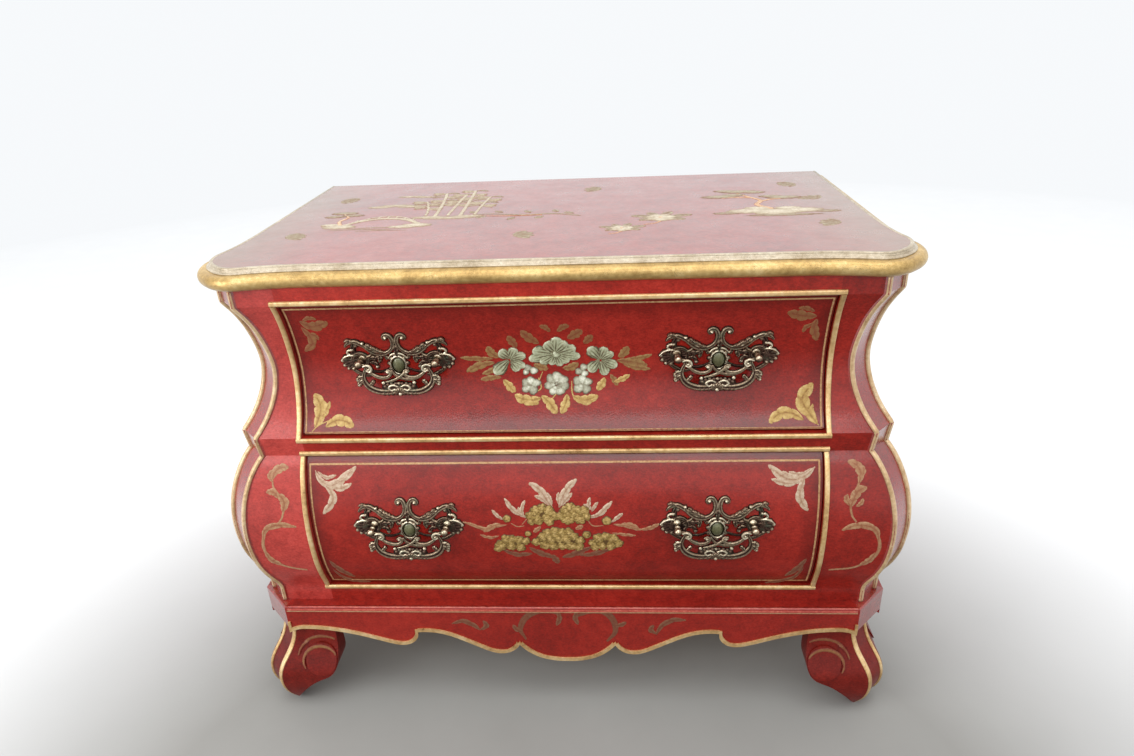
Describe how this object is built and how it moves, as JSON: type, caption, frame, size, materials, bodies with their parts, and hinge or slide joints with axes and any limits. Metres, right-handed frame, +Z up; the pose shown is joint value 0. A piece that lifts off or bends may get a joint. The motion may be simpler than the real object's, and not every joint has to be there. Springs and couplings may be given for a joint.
{
  "type": "chest of drawers",
  "caption": "Bombe chest with swelling front and ends, canted beaded posts, full-width drawers with drop bails, moulded top, scalloped apron and scrolled bracket feet.",
  "frame": {"origin": "on the floor under the middle of the overall box, between the four feet", "axes": "+X to the right as seen from the front, +Y from front to back, +Z up; the drawer fronts face -Y"},
  "size_m": [0.9868, 0.5828, 0.7155],
  "materials": {
    "lacquer": "glossy red lacquer, slightly pebbled",
    "gilt": "gilt wood moulding with dark antiquing",
    "hardware": "cast brass, silvery antique patina",
    "bare_wood": "bare planed wood",
    "steel": "zinc plated"
  },
  "bodies": {
    "carcass": {"apron_bead": "gilt", "apron_front": "lacquer", "apron_left": "lacquer", "apron_right": "lacquer", "back_panel": "bare_wood", "base_rail": "lacquer", "bottom_board": "bare_wood", "cock_bead_lower": "gilt", "cock_bead_upper": "gilt", "drawer_guides": "bare_wood", "drawer_stops": "bare_wood", "dust_panel": "bare_wood", "foot_back_left": "lacquer", "foot_back_right": "lacquer", "foot_front_left": "lacquer", "foot_front_right": "lacquer", "frieze_rail": "lacquer", "glue_blocks": "bare_wood", "kickers": "bare_wood", "mid_rail": "lacquer", "plinth_corner_left": "lacquer", "plinth_corner_right": "lacquer", "post_left": "lacquer", "post_right": "lacquer", "rear_post_left": "bare_wood", "rear_post_right": "bare_wood", "rear_rail_mid": "bare_wood", "rear_rail_top": "bare_wood", "runner_lower_left": "bare_wood", "runner_lower_right": "bare_wood", "runner_upper_left": "bare_wood", "runner_upper_right": "bare_wood", "side_panel_left": "lacquer", "side_panel_right": "lacquer", "stile_left": "lacquer", "stile_right": "lacquer", "top_board": "lacquer", "top_bullnose": "gilt", "top_screws": "steel", "top_upper_moulding": "gilt"},
    "upper_drawer": {"upper_back": "bare_wood", "upper_bottom": "bare_wood", "upper_front": "lacquer", "upper_plates": "hardware", "upper_pull_nuts": "steel", "upper_pull_posts": "hardware", "upper_side_left": "bare_wood", "upper_side_right": "bare_wood"},
    "lower_drawer": {"lower_back": "bare_wood", "lower_bottom": "bare_wood", "lower_front": "lacquer", "lower_plates": "hardware", "lower_pull_nuts": "steel", "lower_pull_posts": "hardware", "lower_side_left": "bare_wood", "lower_side_right": "bare_wood"},
    "bail_lower_left": {"bail_lower_left": "hardware"},
    "bail_lower_right": {"bail_lower_right": "hardware"},
    "bail_upper_left": {"bail_upper_left": "hardware"},
    "bail_upper_right": {"bail_upper_right": "hardware"}
  },
  "joints": [
    {"name": "upper_drawer_slide", "type": "slide", "parent": "carcass", "child": "upper_drawer", "axis": [0, -1, 0], "range_m": [0, 0.33]},
    {"name": "lower_drawer_slide", "type": "slide", "parent": "carcass", "child": "lower_drawer", "axis": [0, -1, 0], "range_m": [0, 0.33]},
    {"name": "bail_upper_left_hinge", "type": "hinge", "parent": "upper_drawer", "child": "bail_upper_left", "pos_m": [-0.216, -0.22071, 0.5735], "axis": [-1, 0, 0], "range_deg": [-10, 95]},
    {"name": "bail_upper_right_hinge", "type": "hinge", "parent": "upper_drawer", "child": "bail_upper_right", "pos_m": [0.216, -0.22071, 0.5735], "axis": [-1, 0, 0], "range_deg": [-10, 95]},
    {"name": "bail_lower_left_hinge", "type": "hinge", "parent": "lower_drawer", "child": "bail_lower_left", "pos_m": [-0.216, -0.28492, 0.3415], "axis": [-1, 0, 0], "range_deg": [-14, 95]},
    {"name": "bail_lower_right_hinge", "type": "hinge", "parent": "lower_drawer", "child": "bail_lower_right", "pos_m": [0.216, -0.28492, 0.3415], "axis": [-1, 0, 0], "range_deg": [-14, 95]}
  ]
}
